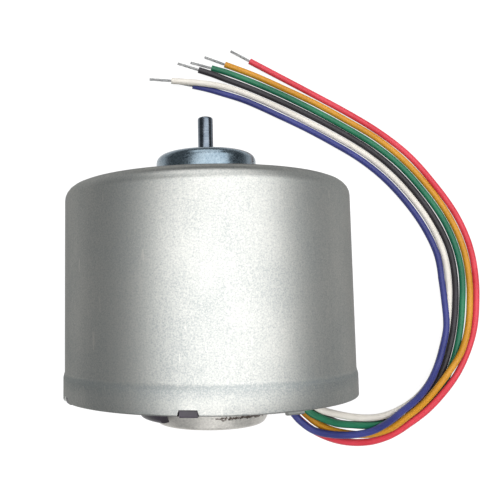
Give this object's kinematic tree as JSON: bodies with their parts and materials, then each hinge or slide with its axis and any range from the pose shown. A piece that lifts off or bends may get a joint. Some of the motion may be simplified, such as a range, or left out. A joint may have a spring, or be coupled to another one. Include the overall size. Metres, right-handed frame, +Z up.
{
  "type": "brushless dc motor",
  "caption": "Cylindrical inner-rotor brushless motor in a drawn steel can, with a pilot boss and thin output shaft in front, a built-in driver board and free leads at the back.",
  "frame": {"origin": "on the shaft axis, in the plane of the can's front face, where the pilot boss starts", "axes": "+Y along the shaft, out of its output end; +Z up, away from the surface that the motor lies on; +X to the side that the leads loop round"},
  "size_m": [0.0701, 0.0697, 0.0424],
  "materials": {
    "galvanised_can": "matt zinc coat with a fine spangle",
    "zinc_plated_housing": "bright blue zinc plate over turned steel",
    "plain_steel": "plain",
    "bearing_steel": "ground and polished",
    "cage_brass": "satin",
    "shaft_steel": "ground, with a bluish oxide",
    "spacer_brass": "turned",
    "bonded_magnet": "matt",
    "laminations": "dull steel sheet",
    "natural_nylon": "satin",
    "enamelled_copper": "enamelled",
    "board_laminate": "solder mask",
    "black_epoxy": "matt",
    "ceramic": "satin",
    "capacitor_can": "satin",
    "dark_nylon": "satin, with glass fibre",
    "worn_cup": "worn bright zinc over pressed steel",
    "black_rubber": "satin",
    "solder_and_pins": "tin",
    "tinned_strands": "tinned, satin",
    "red_insulation": "smooth soft insulation",
    "yellow_insulation": "smooth soft insulation",
    "green_insulation": "smooth soft insulation",
    "black_insulation": "smooth soft insulation",
    "white_insulation": "smooth soft insulation",
    "blue_insulation": "smooth soft insulation"
  },
  "bodies": {
    "stator": {"can": "galvanised_can", "front_bearing_housing": "zinc_plated_housing", "front_backing_plate": "plain_steel", "front_outer_race": "bearing_steel", "front_shields": "plain_steel", "stator_core": "laminations", "front_insulator": "natural_nylon", "rear_insulator": "natural_nylon", "phase_u_coils": "enamelled_copper", "phase_v_coils": "enamelled_copper", "phase_w_coils": "enamelled_copper", "phase_pins": "solder_and_pins", "driver_board": "board_laminate", "board_screws": "plain_steel", "hall_sensors": "black_epoxy", "driver_chip": "black_epoxy", "power_transistors": "black_epoxy", "ceramic_capacitors": "ceramic", "filter_capacitor": "capacitor_can", "sense_resistor": "black_epoxy", "solder_joints": "solder_and_pins", "rear_cover": "dark_nylon", "rear_bearing_cup": "worn_cup", "wave_washer": "plain_steel", "rear_outer_race": "bearing_steel", "rear_shields": "plain_steel", "lead_grommet": "black_rubber", "lead_red": "red_insulation", "lead_yellow": "yellow_insulation", "lead_green": "green_insulation", "lead_black": "black_insulation", "lead_white": "white_insulation", "lead_blue": "blue_insulation", "tip_red": "tinned_strands", "tip_yellow": "tinned_strands", "tip_green": "tinned_strands", "tip_black": "tinned_strands", "tip_white": "tinned_strands", "tip_blue": "tinned_strands"},
    "rotor": {"shaft": "shaft_steel", "front_spacer": "spacer_brass", "rotor_core": "plain_steel", "ring_magnet": "bonded_magnet", "rear_spacer": "spacer_brass", "front_inner_race": "bearing_steel", "rear_inner_race": "bearing_steel"},
    "front_cage": {"front_balls": "bearing_steel", "front_ball_cage": "cage_brass"},
    "rear_cage": {"rear_balls": "bearing_steel", "rear_ball_cage": "cage_brass"}
  },
  "joints": [
    {"name": "rotor_spin", "type": "hinge", "parent": "stator", "child": "rotor", "pos_m": [0, 0, 0], "axis": [0, 1, 0], "continuous": true},
    {"name": "front_cage_spin", "type": "hinge", "parent": "stator", "child": "front_cage", "pos_m": [0, 0, 0], "axis": [0, 1, 0], "continuous": true},
    {"name": "rear_cage_spin", "type": "hinge", "parent": "stator", "child": "rear_cage", "pos_m": [0, 0, 0], "axis": [0, 1, 0], "continuous": true}
  ],
  "couplings": [
    {"joint": "front_cage_spin", "follows": "rotor_spin", "ratio": 0.375},
    {"joint": "rear_cage_spin", "follows": "rotor_spin", "ratio": 0.375}
  ]
}
